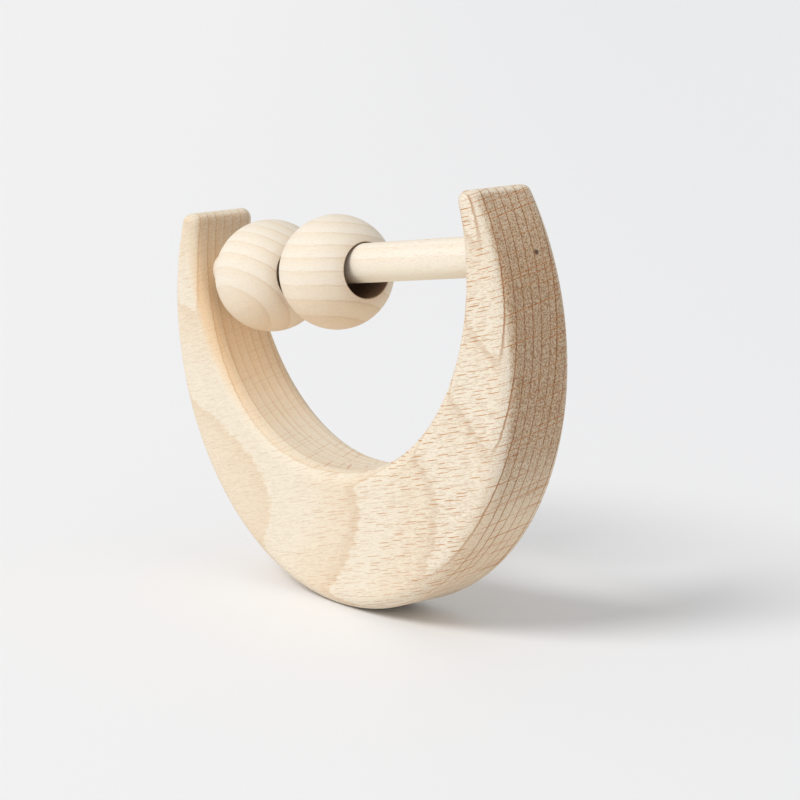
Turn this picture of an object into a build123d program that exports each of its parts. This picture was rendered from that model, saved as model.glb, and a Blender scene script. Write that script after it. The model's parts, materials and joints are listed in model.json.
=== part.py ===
from build123d import *
from math import cos, radians, sin, sqrt
import os

os.makedirs("parts", exist_ok=True)

# A wooden baby rattle: a crescent sawn from one board, a dowel glued across its arms, and two
# balls that slide on the dowel. Millimetres, +Z up, the front face towards -Y.
# It stands as it rests on a table. Its bottom is round, so with both balls at the left end of
# the dowel it rocks over to the left until it balances. The origin is the point it stands on,
# in the middle of the board's thickness.
lean = 9.0

# Crescent: two arcs with different centres, so the wood is thick below and thin at the tips.
# Heights are along the crescent's own axis, from the bottom of the outer arc.
board_thickness = 18.0
outer_radius = 59.25
inner_radius = 47.5
belly_depth = 30.0
tip_height = 87.75
edge_round = 3.5
ridge_round = 2.0
tip_round = 2.2

# Dowel: sanded flush with the left arm's rim, blind in the right arm
dowel_diameter = 8.5
dowel_height = 74.0
glue_gap = 0.05
socket_wall = 3.0

# Balls: they hang on the dowel by the top of their wide bore
bead_diameter = 25.0
bead_bore = 12.0
bore_round = 0.2
hang_gap = 0.15
bead_places = {"left_bead": -30.8, "right_bead": -6.1}

# Distances above the outer arc's centre, and along the dowel from it
half_board = board_thickness / 2
flare_radius = inner_radius + edge_round
inner_rise = belly_depth + inner_radius - outer_radius
tip_rise = tip_height - outer_radius
dowel_rise = dowel_height - outer_radius
bead_rise = dowel_rise + dowel_diameter / 2 - bead_bore / 2 + hang_gap
socket_end = sqrt(outer_radius**2 - dowel_rise**2) - socket_wall

# The board's mid-plane, with x along the dowel and y from the round bottom to the tips
board_plane = Plane(
    origin=(0, 0, outer_radius),
    x_dir=(cos(radians(lean)), 0, sin(radians(lean))),
    z_dir=(0, -1, 0),
)

# The same plane turned, so that the slab's seam is at the top, where it is cut away
slab_plane = Plane(origin=board_plane.origin, x_dir=board_plane.y_dir, z_dir=(0, 1, 0))
# Through the opening's centre: x up to the tips, y from front to back
opening_plane = Plane(
    origin=board_plane.from_local_coords((0, inner_rise, 0)),
    x_dir=board_plane.y_dir,
    z_dir=board_plane.x_dir,
)


def across_dowel(along, rise):
    """The plane square to the dowel at that place on the board's mid-plane."""
    place = board_plane.from_local_coords((along, rise, 0))
    return Plane(origin=place, x_dir=(0, 1, 0), z_dir=board_plane.x_dir)


# The crescent handle, cut from one board
with BuildPart() as crescent_handle:
    # A round slab, with its rim rounded over at the front and back
    with BuildSketch(slab_plane):
        Circle(outer_radius)
    extrude(amount=board_thickness / 2, both=True)
    fillet(crescent_handle.edges().filter_by(GeomType.CIRCLE), radius=edge_round)
    # The round opening, whose edges flare out with the same round-over
    with BuildSketch(opening_plane):
        with BuildLine():
            Polyline((0, half_board), (0, -half_board), (flare_radius, -half_board))
            RadiusArc((flare_radius, -half_board), (inner_radius, edge_round - half_board), edge_round)
            Line((inner_radius, edge_round - half_board), (inner_radius, half_board - edge_round))
            RadiusArc((inner_radius, half_board - edge_round), (flare_radius, half_board), edge_round)
            Line((flare_radius, half_board), (0, half_board))
        make_face()
    revolve(axis=Axis(opening_plane.origin, (0, 1, 0)), mode=Mode.SUBTRACT)
    # The tips are cut off level with each other
    with BuildSketch(board_plane):
        with Locations((0, tip_rise)):
            Rectangle(2 * outer_radius, outer_radius, align=(Align.CENTER, Align.MIN))
    extrude(amount=board_thickness, both=True, mode=Mode.SUBTRACT)
    # The arms narrow to a ridge where the two round-overs meet, and it is eased
    tips = crescent_handle.faces().filter_by(Axis((0, 0, 0), board_plane.y_dir))
    ridges = crescent_handle.edges().filter_by(GeomType.BSPLINE) - tips.edges()
    fillet(ridges, radius=ridge_round)
    tips = crescent_handle.faces().filter_by(Axis((0, 0, 0), board_plane.y_dir))
    fillet(tips.edges(), radius=tip_round)
    # The through hole in the left arm
    with BuildSketch(across_dowel(0, dowel_rise)):
        Circle(dowel_diameter / 2 + glue_gap)
    extrude(amount=-outer_radius, mode=Mode.SUBTRACT)
    # The blind socket in the right arm
    with BuildSketch(across_dowel(0, dowel_rise)):
        Circle(dowel_diameter / 2 + glue_gap)
    extrude(amount=socket_end, mode=Mode.SUBTRACT)
crescent_handle.part.label = "crescent_handle"
export_step(crescent_handle.part, "parts/crescent_handle.step")

# The dowel, whose left end follows the round rim that it was sanded with
with BuildPart() as dowel:
    with BuildSketch(across_dowel(-outer_radius, dowel_rise)):
        Circle(dowel_diameter / 2)
    extrude(amount=outer_radius + socket_end - glue_gap)
    with BuildSketch(board_plane):
        Circle(outer_radius)
    extrude(amount=dowel_diameter, both=True, mode=Mode.INTERSECT)
dowel.part.label = "dowel"
export_step(dowel.part, "parts/dowel.step")

# The two balls, bored right through along the dowel
for bead_name, bead_place in bead_places.items():
    with BuildPart(across_dowel(bead_place, bead_rise)) as bead:
        Sphere(bead_diameter / 2)
        Hole(bead_bore / 2)
        fillet(bead.edges().filter_by(GeomType.CIRCLE), radius=bore_round)
    bead.part.label = bead_name
    export_step(bead.part, f"parts/{bead_name}.step")
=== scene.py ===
# %% [markdown]
# # A wooden baby rattle
#
# The rattle is four pieces of beech: a crescent sawn from one flat board, a dowel glued across its
# arms, and two balls that slide along the dowel and knock together.
#
# The imported model is the frame that everything else is fitted to. It is loaded first, and its box is
# kept.

# %% Load the frame
import json
from math import atan2, cos, degrees, radians, sin

import bmesh
import bpy
from mathutils import Matrix, Vector


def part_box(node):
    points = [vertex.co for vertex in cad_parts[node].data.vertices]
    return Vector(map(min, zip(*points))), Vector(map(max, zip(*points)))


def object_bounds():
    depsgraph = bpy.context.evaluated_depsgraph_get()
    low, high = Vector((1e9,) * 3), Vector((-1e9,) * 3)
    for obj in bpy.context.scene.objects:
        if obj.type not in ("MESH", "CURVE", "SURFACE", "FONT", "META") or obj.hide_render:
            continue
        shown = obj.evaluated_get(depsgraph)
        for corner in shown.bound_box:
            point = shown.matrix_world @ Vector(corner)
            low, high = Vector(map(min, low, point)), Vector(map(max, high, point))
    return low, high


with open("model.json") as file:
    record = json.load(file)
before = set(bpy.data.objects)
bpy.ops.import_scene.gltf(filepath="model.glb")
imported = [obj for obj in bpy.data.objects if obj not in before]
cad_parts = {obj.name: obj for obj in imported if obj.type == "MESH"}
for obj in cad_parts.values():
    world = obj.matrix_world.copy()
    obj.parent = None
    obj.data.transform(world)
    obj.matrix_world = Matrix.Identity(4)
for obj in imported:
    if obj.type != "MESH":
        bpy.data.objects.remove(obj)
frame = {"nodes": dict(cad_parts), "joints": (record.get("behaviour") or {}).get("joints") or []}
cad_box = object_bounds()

print("pieces in the frame:", sorted(frame["nodes"]))

# %% [markdown]
# ## The board's own directions
#
# The rattle rests on its round bottom, rocked over towards the balls, so the board's grain is not
# level. Every pattern in the wood is worked out along the board's own directions: x along the
# dowel, y through the board from front to back, z from the bottom of the outer curve to the tips.
# How far it leans is the slope of the slide that the balls run on, and the size of the outer curve
# is half the width of the handle's box.

# %% Measure how the board lies
MM = 0.001
slide = frame["joints"][0]["axis"]
lean = atan2(slide[2], slide[0])
handle_low, handle_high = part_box("crescent_handle")
outer_radius = (handle_high.x - handle_low.x) / 2
outer_centre = Vector((0, 0, outer_radius))
print(f"the board leans {degrees(lean):.2f} degrees; outer curve {outer_radius / MM:.2f} mm")


# %% [markdown]
# ## Shader sums as plain expressions
#
# A wood pattern is mostly arithmetic on positions, and that is easier to read as a formula than as
# a row of boxes. `Wire` wraps one output socket. Adding or multiplying wires adds a Math node and
# gives the wire that comes out of it, and a plain number may stand on either side.

# %% A socket that does arithmetic
class Wire:
    """One output socket of a finish, ready for arithmetic."""

    def __init__(self, finish, socket):
        self.finish = finish
        self.socket = socket

    def maths(self, operation, *values):
        inputs = dict(enumerate(values))
        return self.finish.node("ShaderNodeMath", {"operation": operation}, inputs).out(0)

    def __add__(self, other):
        return self.maths("ADD", self, other)

    __radd__ = __add__

    def __sub__(self, other):
        return self.maths("SUBTRACT", self, other)

    def __rsub__(self, other):
        return self.maths("SUBTRACT", other, self)

    def __mul__(self, other):
        return self.maths("MULTIPLY", self, other)

    __rmul__ = __mul__

    def __truediv__(self, other):
        return self.maths("DIVIDE", self, other)

    def __rtruediv__(self, other):
        return self.maths("DIVIDE", other, self)

    def __pow__(self, power):
        return self.maths("POWER", self, power)

    def __abs__(self):
        return self.maths("ABSOLUTE", self)

    def fract(self):
        return self.maths("FRACT", self)

    def root(self):
        return self.maths("SQRT", self)

    def most(self, other):
        return self.maths("MAXIMUM", self, other)

    def step(self, start, end, low=0.0, high=1.0):
        """Goes smoothly from low to high as this wire goes from start to end."""
        settings = {"interpolation_type": "SMOOTHSTEP", "clamp": True}
        inputs = {"Value": self, "From Min": start, "From Max": end, "To Min": low, "To Max": high}
        return self.finish.node("ShaderNodeMapRange", settings, inputs).out("Result")


class Added:
    """A node that has just been added; out() gives one of its outputs as a wire."""

    def __init__(self, finish, node):
        self.finish = finish
        self.node = node

    def out(self, name=0):
        return Wire(self.finish, self.node.outputs[name])


# %% [markdown]
# ## One finish, node by node
#
# `Finish` owns one material. Its `node` method adds any kind of node: first the settings, because
# some of them change which sockets the node has, then the values or wires of its sockets. Colours
# go through `mix`, because a Math node would turn them grey.

# %% A material that grows node by node
class Finish:
    """A new material with a Principled shader, and the way to add nodes to it."""

    def __init__(self, name):
        self.material = bpy.data.materials.new(name)
        self.material.use_nodes = True
        self.tree = self.material.node_tree
        self.shader = self.tree.nodes["Principled BSDF"]

    def node(self, kind, settings=None, inputs=None):
        node = self.tree.nodes.new(kind)
        for key, value in (settings or {}).items():
            setattr(node, key, value)
        self.fill(node, inputs or {})
        return Added(self, node)

    def fill(self, node, inputs):
        for key, value in inputs.items():
            if isinstance(value, Wire):
                self.tree.links.new(value.socket, node.inputs[key])
            else:
                node.inputs[key].default_value = value

    def shade(self, **inputs):
        self.fill(self.shader, {key.replace("_", " "): value for key, value in inputs.items()})

    def vector(self, x, y, z):
        return self.node("ShaderNodeCombineXYZ", None, {"X": x, "Y": y, "Z": z}).out()

    def parts(self, vector):
        split = self.node("ShaderNodeSeparateXYZ", None, {"Vector": vector})
        return split.out("X"), split.out("Y"), split.out("Z")

    def mix(self, share, first, second, blend="MIX"):
        """Two colours mixed: share 0 gives the first, 1 the second."""
        settings = {"data_type": "RGBA", "blend_type": blend, "clamp_factor": True}
        node = self.node("ShaderNodeMix", settings, {"Factor": share}).node
        self.fill(node, {6: first, 7: second})
        return Wire(self, node.outputs[2])

    def noise(self, place, scale, detail=2.0, roughness=0.5):
        """Smooth noise about 0.5, with lumps 1 / scale across."""
        inputs = {"Vector": place, "Scale": scale, "Detail": detail, "Roughness": roughness}
        return self.node("ShaderNodeTexNoise", None, inputs).out(0)


# %% [markdown]
# ## The beech
#
# Beech shows three things. **Growth rings**: each year starts pale and turns slowly tan, then stops
# at a sharp edge where the next one starts. **Rays**: thin upright sheets that run from the heart
# outwards; cut along, they are short brown dashes, and cut across the end they are long fine lines.
# **Pores**: a fine speckle all over, drawn out along the fibres.
#
# They could be painted on each face, but then the lines would break at every corner. So the wood is
# worked out as a solid instead: every point knows which ring it is in and whether it lies in a ray.
# The faces, edges and ends then show the right figure by themselves.
#
# `place` is the point in millimetres: x along the fibres, y and z across. `growth` is how far the
# tree had grown at that point.


# %% Rings and rays
def ring_tone(growth, spacing):
    """0 where a year starts and 1 where it ends, and a thin mask on the line between two years."""
    year = (growth / spacing).fract()
    tone = year.step(0.15, 0.97) * (1 - year.step(0.975, 1.0))
    line = year.step(0.80, 0.93) * (1 - year.step(0.95, 1.0))
    return tone, line


def ray_mask(finish, place, cell, half, seed):
    """Masks the sheets of ray cells: one at a random place in each cell of the wood.

    cell is the room for each sheet and half is half its size, in millimetres: along the fibres,
    in depth and in thickness. The seed shifts the cells, so that each piece has its own sheets.
    """
    x, y, z = finish.parts(place)
    scaled = finish.vector(x / cell[0] + seed, y / cell[1] + seed, z / cell[2] + seed)
    settings = {"voronoi_dimensions": "3D", "feature": "F1", "distance": "CHEBYCHEV"}
    inputs = {"Vector": scaled, "Scale": 1.0, "Randomness": 1.0}
    cells = finish.node("ShaderNodeTexVoronoi", settings, inputs)
    cell_x, cell_y, cell_z = finish.parts(cells.out("Position"))
    here_x, here_y, here_z = finish.parts(scaled)
    luck, _, _ = finish.parts(cells.out("Color"))
    off_x = abs(here_x - cell_x) * cell[0]
    off_y = abs(here_y - cell_y) * cell[1]
    off_z = abs(here_z - cell_z) * cell[2]
    # A sheet is long and pointed, like the section of a lens
    taper = (1 - (off_x / half[0])**2).most(0.0).root()
    mask = 1 - (off_z / (taper * half[2]).most(0.001)).step(0.5, 1.0)
    mask = mask * (1 - off_x.step(half[0] * 0.8, half[0]))
    mask = mask * (1 - off_y.step(half[1] * 0.8, half[1]))
    return mask, luck


# %% [markdown]
# ## One recipe for all four pieces
#
# All four pieces are the same wood with the same matt, fine-sanded surface, so one function makes
# every finish. What differs is how each was cut: where its heartwood was, how wide its rings are,
# and how strong its lines and flecks are.
#
# Sanded end grain drinks in light: it is darker and greyer than the faces, its ring lines are
# crisp and its pores are open dots. How far a surface cuts across the fibres is read from its
# normal, so that the change comes gradually round the rounded edges, as it does in real wood.

# %% The wood's colours
# SPECKLE, END_SHADE and the painted shades under the balls and on the sawn curve darken by multiplying. The
# rest are mixed in.
CREAM = (0.810, 0.725, 0.590, 1.0)
PALE = (0.840, 0.760, 0.640, 1.0)
TAN = (0.765, 0.620, 0.440, 1.0)
LINE_BROWN = (0.38, 0.18, 0.07, 1.0)
RAY_BROWN = (0.54, 0.23, 0.07, 1.0)
END_SHADE = (0.74, 0.625, 0.525, 1.0)
# Painted warm shade for the sawn curve inside the left arm and low on the rim
PAINTED_WARM_SHADE = (1.0, 0.84, 0.66, 1.0)
SPECKLE = (0.62, 0.49, 0.38, 1.0)
WHITE = (1.0, 1.0, 1.0, 1.0)
# Painted shade for the wall of the bore
BORE_PAINTED_SHADE = (0.16, 0.07, 0.035, 1.0)
KNOT_BROWN = (0.06, 0.03, 0.02, 1.0)
ROD_PALE = (0.86, 0.78, 0.66, 1.0)
# Painted bounce light from the table on the dowel's lower half
ROD_PAINTED_BOUNCE = (0.97, 0.84, 0.61, 1.0)
# Painted shade for the lower half of each ball
BALL_PAINTED_SHADE = (1.0, 0.84, 0.66, 1.0)
RELIEF_DEPTH = 0.06 * MM
print("colours of the wood: from", CREAM[:3], "to", TAN[:3])


# %% [markdown]
# The recipe is a stack of layers, from wide to fine: the year's slow change from pale to tan, the
# dark of the end grain, the lines between years, the rays, and last the pores. The same rays, lines
# and pores also lower the surface by a few hundredths of a millimetre, so that they catch the light.

# %% The wood recipe
def board_place(finish, centre):
    """Object coordinates turned to the board's directions, in millimetres from a centre."""
    turned = Matrix.Rotation(lean, 3, "Y") @ (Vector(centre) / MM)
    settings = {"vector_type": "POINT"}
    spot = finish.node("ShaderNodeTexCoord").out("Object")
    inputs = {"Vector": spot, "Location": -turned, "Rotation": (0, lean, 0), "Scale": (1 / MM,) * 3}
    return finish.node("ShaderNodeMapping", settings, inputs).out()


def end_grain(finish):
    """1 where the surface cuts across the fibres, 0 where it runs along them."""
    normal = finish.node("ShaderNodeTexCoord").out("Normal")
    along = (cos(lean), 0, sin(lean))
    dot = finish.node("ShaderNodeVectorMath", {"operation": "DOT_PRODUCT"}, {0: normal, 1: along})
    return abs(dot.out("Value"))


def beech(finish, place, growth, spacing, rings, lines, flecks, grain, sheets, pale, darker=1.0):
    """Puts rings, rays and pores together on the finish's shader, and gives the colour."""
    x, y, z = finish.parts(place)
    cut_across = end_grain(finish)
    rounding = cut_across.step(0.2, 0.8)
    ends = cut_across.step(0.72, 1.0) * darker
    # Streaks ten millimetres long make the edges of the rings ragged
    drawn_out = finish.vector(x * 0.10, y * 0.5, z * 0.9)
    ragged = (finish.noise(drawn_out, 1.0, 3.0, 0.6) - 0.5) * 0.45
    tone, line = ring_tone(growth + ragged, spacing)
    clouds = finish.noise(place, 0.06, 2.0)
    wood = finish.mix(tone * rings + (clouds - 0.5) * 0.4, pale, TAN)
    wood = finish.mix(1.0, wood, finish.mix(ends, WHITE, END_SHADE), "MULTIPLY")
    wood = finish.mix(line * (rounding * 0.8 + 0.2) * lines, wood, LINE_BROWN)
    rays, luck = ray_mask(finish, place, *sheets)
    wood = finish.mix(rays * flecks * (0.25 + luck * 0.75), wood, RAY_BROWN)
    # The pores are short streaks along the fibres and round dots across them
    fibre = finish.noise(finish.vector(x * 0.8, y * 4.5, z * 4.5), 1.0, 2.0, 0.6)
    dots = finish.noise(finish.vector(x * 2.6, y * 2.6, z * 2.6), 1.0, 2.0, 0.8)
    fine = fibre + (dots - fibre) * ends
    pores = fine.step(0.46, 0.60) * (0.22 + ends * 0.70) * grain
    wood = finish.mix(pores, wood, SPECKLE, "MULTIPLY")
    finish.shade(Base_Color=wood, Roughness=fine.step(0.3, 0.7, 0.50, 0.70), Specular_IOR_Level=0.30)
    relief = fine * -0.6 - rays * 0.5 - line * 0.3
    height = {"Strength": 0.5, "Distance": RELIEF_DEPTH, "Height": relief}
    finish.shade(Normal=finish.node("ShaderNodeBump", None, height).out("Normal"))
    return wood


# %% [markdown]
# ## The handle
#
# The board was sawn nearly flat to the rings. They meet its front face at a shallow slant, so they
# show there as broad arches, with the tops of the arches under the opening, and run round the rim
# as close lines from end to end. The sawn curve inside the left arm is painted warmer, as painted
# shade, and the dashes are thickest on the right arm. A pin knot as thin as a needle shows on its rim.
#
# The arches could come from rings round a far-off centre. A shallow arch function is used instead,
# because the height of the arches' tops is then one number, and so is how steeply they open.
#
# The grain is clearest at the right arm and calms down towards the left one. End grain on the
# inside of the curve is darkened less than on the outside, as painted bounce light. In every step below, the
# first two numbers are places in millimetres along the board's own directions.

# %% Finish of the handle
ARCH_HEIGHT, ARCH_REACH, ARCH_SCALE = 23.0, 16.0, 1.825
RING_SLANT, RING_BEND, RING_START = 0.0723, 0.000255, 0.62
RING_SPACING = 2.2
UNEVEN_YEARS = 3.4
FIBRE_DIP_X, FIBRE_DIP_Y = 0.10, 0.20
HANDLE_RAYS = ((4.6, 20.0, 0.95), (2.1, 11.0, 0.12), 3.0)
PIN_KNOT = (57.3, 3.0, 74.1 - outer_radius / MM)

handle_wood = Finish("handle_wood")
place = board_place(handle_wood, outer_centre)
x, y, z = handle_wood.parts(place)
rise = z + outer_radius / MM
arch = ((1 + ((rise - ARCH_HEIGHT) / ARCH_REACH)**2).root() - 1) * ARCH_SCALE
growth = x * RING_SLANT + x * x * RING_BEND - y + arch - RING_START
# Deeper in the board the years were good and bad, so the rings are wide and narrow by turns
years = handle_wood.noise(handle_wood.vector(growth * 0.5, x * 0.02, 0.0), 1.0, 1.0) - 0.5
growth = growth + years * UNEVEN_YEARS * growth.step(4.5, 6.6, 1.0, 0.0)
right_arm = x.step(0.0, 42.0)
from_centre = (x * x + z * z).root()
# End grain is darkened fully on the outer rim and a quarter as much inside the curve: painted bounce light
# inside
end_grain_strength_painted_bounce = from_centre.step(51.0, 58.0, 0.25, 1.0)
clear = x.step(-35.0, 25.0, 0.3, 1.0)
fibres = handle_wood.vector(x, y, z - x * FIBRE_DIP_X - y * FIBRE_DIP_Y)
wood = beech(
    handle_wood, fibres, growth, RING_SPACING,
    rings=0.62 - right_arm * 0.40, lines=clear * 0.9, flecks=clear * 0.75 + right_arm * 0.3,
    grain=0.8 + right_arm * 1.0,
    sheets=HANDLE_RAYS, pale=CREAM, darker=end_grain_strength_painted_bounce,
)
# Painted warm shade: the sawn curve is made warmer and darker than the flat faces inside the left arm and low
# down on the rim
painted_shade_left_inside = x.step(-48.0, -20.0, 1.0, 0.0) * from_centre.step(48.0, 57.0, 1.0, 0.0)
painted_shade_low_rim = z.step(-50.0, -20.0, 1.0, 0.0) * from_centre.step(54.0, 58.0)
painted_warm_shade_mask = (painted_shade_left_inside + painted_shade_low_rim * 0.7) * end_grain(handle_wood).step(0.1, 0.7)
wood = handle_wood.mix(painted_warm_shade_mask, wood, PAINTED_WARM_SHADE, "MULTIPLY")
two_points = {0: place, 1: PIN_KNOT}
distance = handle_wood.node("ShaderNodeVectorMath", {"operation": "DISTANCE"}, two_points)
to_knot = distance.out("Value")
pin = to_knot.step(0.35, 0.75, 1.0, 0.0)
handle_wood.shade(Base_Color=handle_wood.mix(pin * 0.85, wood, KNOT_BROWN))
print("handle finish:", len(handle_wood.tree.nodes), "nodes")

# %% [markdown]
# ## The dowel
#
# A rod turned along the fibres has almost no end grain: it shows faint straight streaks and a few
# small flecks, which gather towards the right arm. Its lower half is painted a little warmer and
# brighter, as painted bounce light from the table, but not its flush left end, which would look hollow with a
# change of colour across it.

# %% Finish of the dowel
ROD_RAYS = ((4.0, 9.0, 1.2), (0.9, 4.0, 0.11), 5.0)

dowel_wood = Finish("dowel_wood")
place = board_place(dowel_wood, outer_centre)
x, y, z = dowel_wood.parts(place)
low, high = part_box("dowel")
rod_rise = (low.z + high.z) / 2 / MM - outer_radius / MM
wood = beech(
    dowel_wood, place, z * 0.8 + y * 0.6 + x * 0.01, 2.6,
    rings=0.25, lines=0.12, flecks=0.08 + x.step(10.0, 45.0) * 0.3, grain=0.7,
    sheets=ROD_RAYS, pale=ROD_PALE,
)
# Painted bounce light: the dowel's lower half, but not its left end, is made warmer and brighter
painted_light_below = (z - rod_rise).step(-4.0, 1.0, 1.0, 0.0) * end_grain(dowel_wood).step(0.3, 0.8, 1.0, 0.0)
dowel_wood.shade(Base_Color=dowel_wood.mix(painted_light_below * 0.6, wood, ROD_PAINTED_BOUNCE))
print("dowel finish:", len(dowel_wood.tree.nodes), "nodes")

# %% [markdown]
# ## The two balls
#
# Each ball was turned from a square stick with the fibres along its bore. The rings cross it as
# soft, nearly level lines, and each stick lay differently in the tree, so each ball has its own
# turn of the rings. The wall of the bore is painted a dark brown, as painted shade inside the hole. One finish
# for both would be shorter, but the rings and the painted shade of the bore have to be centred on the ball, so
# each has its own.

# %% Finish of the balls
BORE_WALL = 6.0
BALL_SPACING = 2.9
BALL_RAYS = ((6.0, 9.0, 1.3), (1.5, 4.0, 0.09), 7.0)
RING_TURNS = {"left_bead": 0.9, "right_bead": 0.25}

bead_wood = {}
for name, turn in RING_TURNS.items():
    finish = bead_wood[name] = Finish("bead_wood_" + name)
    low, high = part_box(name)
    place = board_place(finish, (low + high) / 2)
    x, y, z = finish.parts(place)
    growth = z * cos(turn) + y * sin(turn) + (y * y + z * z) * 0.01 + x * 0.05
    wood = beech(
        finish, place, growth, BALL_SPACING,
        rings=0.38, lines=0.12, flecks=0.12, grain=0.5,
        sheets=BALL_RAYS, pale=PALE, darker=0.6,
    )
    # Painted shade: the lower half of each ball is made warmer and darker
    painted_light_below = z.step(-12.0, 2.0, 1.0, 0.0)
    wood = finish.mix(painted_light_below * 0.85, wood, BALL_PAINTED_SHADE, "MULTIPLY")
    # Painted shade: the wall of the bore is made dark brown
    bore_painted_shade = (y * y + z * z).root().step(BORE_WALL, BORE_WALL + 0.25, 1.0, 0.0)
    finish.shade(Base_Color=finish.mix(bore_painted_shade * 0.85, wood, BORE_PAINTED_SHADE))
    print(name, "finish:", len(finish.tree.nodes), "nodes")

# %% [markdown]
# ## The four pieces
#
# The four shapes of the frame are already right, down to the rounded edges and the flush end of
# the dowel, so no piece is built again. Each one only has its plain colour taken off and its wood
# put on.

# %% Put the finishes on
finishes = {"crescent_handle": handle_wood, "dowel": dowel_wood, **bead_wood}
for name, finish in finishes.items():
    piece = frame["nodes"][name]
    piece.data.materials.clear()
    piece.data.materials.append(finish.material)
    print(name, len(piece.data.polygons), "faces")

# %% [markdown]
# ## The table
#
# The rattle stands on a wide, plain, pale table top. It could be a curved sweep of paper, but one
# flat square is enough: seen from a little above, only the table shows behind the rattle. It is
# part of the stage, not of the object. Its colour is painted a shade greyer from left to right:
# painted shade, standing for the light of a bright wall on one side.

# %% Table
TABLE_HALF = 8.0
TABLE_LEFT = (0.900, 0.900, 0.905, 1.0)
TABLE_RIGHT_PAINTED_SHADE = (0.842, 0.846, 0.858, 1.0)
table = bpy.data.objects.new("table", bpy.data.meshes.new("table"))
bpy.context.scene.collection.objects.link(table)
shape = bmesh.new()
bmesh.ops.create_grid(shape, x_segments=1, y_segments=1, size=TABLE_HALF)
shape.to_mesh(table.data)
shape.free()
table_white = Finish("table_white")
x, y, z = table_white.parts(table_white.node("ShaderNodeTexCoord").out("Object"))
# Painted shade: the table's colour grows greyer from left to right
painted_shade_to_right = (x * 0.62 + y * 0.79).step(-0.20, 0.20)
table_white.shade(Roughness=0.6, Specular_IOR_Level=0.2)
table_white.shade(Base_Color=table_white.mix(painted_shade_to_right, TABLE_LEFT, TABLE_RIGHT_PAINTED_SHADE))
table.data.materials.append(table_white.material)
print("table:", 2 * TABLE_HALF, "m wide")

# %% [markdown]
# ## The light
#
# A white room lights everything evenly, and one broad window in front of the rattle, high up, gives
# the soft shadow that falls away behind it. The window is a sun lamp with a wide angle: a wide
# angle makes a soft edge, and a sun has the same strength all over the table.

# %% Light
KEY_AZ, KEY_EL, KEY_SPREAD, KEY_STRENGTH, SKY = -5, 45, 27, 1.85, 0.60
world = bpy.data.worlds.new("studio")
world.use_nodes = True
world.node_tree.nodes["Background"].inputs["Color"].default_value = (1.0, 1.0, 1.0, 1.0)
world.node_tree.nodes["Background"].inputs["Strength"].default_value = SKY
bpy.context.scene.world = world


def point_from(azimuth, elevation):
    """The direction from the rattle towards a viewer or a lamp there."""
    a, e = radians(azimuth), radians(elevation)
    return Vector((sin(a) * cos(e), -cos(a) * cos(e), sin(e)))


sun = bpy.data.lights.new("window", "SUN")
sun.energy = KEY_STRENGTH
sun.angle = radians(KEY_SPREAD)
window = bpy.data.objects.new("window", sun)
bpy.context.scene.collection.objects.link(window)
window.rotation_euler = point_from(KEY_AZ, KEY_EL).to_track_quat("Z", "Y").to_euler()
print(f"window {KEY_EL} degrees up, {KEY_SPREAD} degrees wide")

# %% [markdown]
# ## The camera
#
# The rattle is seen from its right, a little from above, so that the front face, the rim of the
# right arm and the inside of the left arm all show. The lens is long and the camera stands back,
# which keeps the crescent from looking stretched.

# %% Camera
CAMERA_AZ, CAMERA_EL, CAMERA_ROLL = 51.864, 11.924, -0.32
CAMERA_DISTANCE = 622.44 * MM
AIM_SHIFT = Vector((5.711, 6.350, -3.308)) * MM

lens = bpy.data.cameras.new("camera")
lens.lens = 129.77
lens.sensor_width = 36.0
lens.clip_start = 0.01
lens.clip_end = 50.0
camera = bpy.data.objects.new("camera", lens)
bpy.context.scene.collection.objects.link(camera)
middle = (cad_box[0] + cad_box[1]) / 2
aim = middle + AIM_SHIFT
away = point_from(CAMERA_AZ, CAMERA_EL)
roll = Matrix.Rotation(radians(CAMERA_ROLL), 4, "Z")
turn = away.to_track_quat("Z", "Y").to_matrix().to_4x4() @ roll
camera.matrix_world = Matrix.Translation(aim + away * CAMERA_DISTANCE) @ turn
bpy.context.scene.camera = camera
bpy.context.scene.view_settings.view_transform = "Standard"
print(f"camera {CAMERA_DISTANCE:.3f} m away, looking at {tuple(round(value, 4) for value in aim)}")
